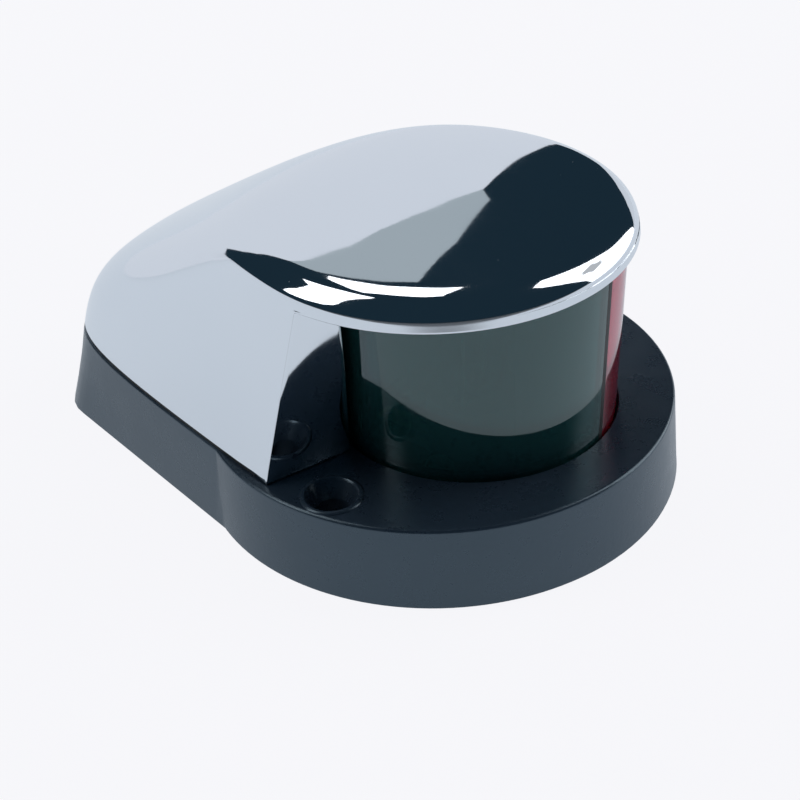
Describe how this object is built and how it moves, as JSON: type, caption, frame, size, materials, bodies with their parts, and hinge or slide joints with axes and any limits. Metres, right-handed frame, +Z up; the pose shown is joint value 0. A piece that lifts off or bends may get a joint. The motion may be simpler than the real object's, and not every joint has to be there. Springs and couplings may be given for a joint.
{
  "type": "navigation light",
  "caption": "Low-profile bow navigation light: red and green lens sectors under a teardrop chrome hood, on a black moulded base with side screw ears.",
  "frame": {"origin": "on the deck face, on the vertical axis through the lens and bulb", "axes": "+X forward to the bow, +Y to port, +Z up from the deck"},
  "size_m": [0.1022, 0.0748, 0.0474],
  "materials": {
    "base_plastic": "black moulded plastic, satin, fine moulding texture",
    "foam_rubber": "closed-cell black rubber",
    "rubber": "moulded black rubber, matt",
    "chrome": "polished chrome plate on a zinc casting",
    "green_lens": "transparent green moulded plastic, glossy",
    "red_lens": "transparent red moulded plastic, glossy",
    "black_plastic": "dull black moulded plastic",
    "holder_plastic": "dark brown thermoset moulding",
    "brass": "bright brass strip",
    "steel": "stainless steel",
    "clear_glass": "clear glass",
    "lead_wire": "bright nickel-iron wire",
    "tungsten": "coiled tungsten wire"
  },
  "bodies": {
    "base": {"base": "base_plastic", "mounting_gasket": "foam_rubber", "wire_grommet": "rubber", "hood_gasket": "rubber", "starboard_lens": "green_lens", "port_lens": "red_lens", "lens_divider": "black_plastic", "lower_lens_seal": "rubber", "rear_screen": "black_plastic", "lamp_holder": "holder_plastic", "port_contact": "brass", "starboard_contact": "brass", "contact_rivets": "brass", "holder_screws": "steel", "hood_screws": "steel", "hood_screw_washers": "steel"},
    "hood": {"hood": "chrome", "upper_lens_seal": "rubber"},
    "bulb": {"bulb_glass": "clear_glass", "bulb_leads": "lead_wire", "bulb_filament": "tungsten"}
  },
  "joints": [
    {"name": "hood_lift", "type": "slide", "parent": "base", "child": "hood", "axis": [0, 0, 1], "range_m": [0, 0.05]},
    {"name": "bulb_pull", "type": "slide", "parent": "base", "child": "bulb", "axis": [0, 0, 1], "range_m": [0, 0.007]}
  ]
}
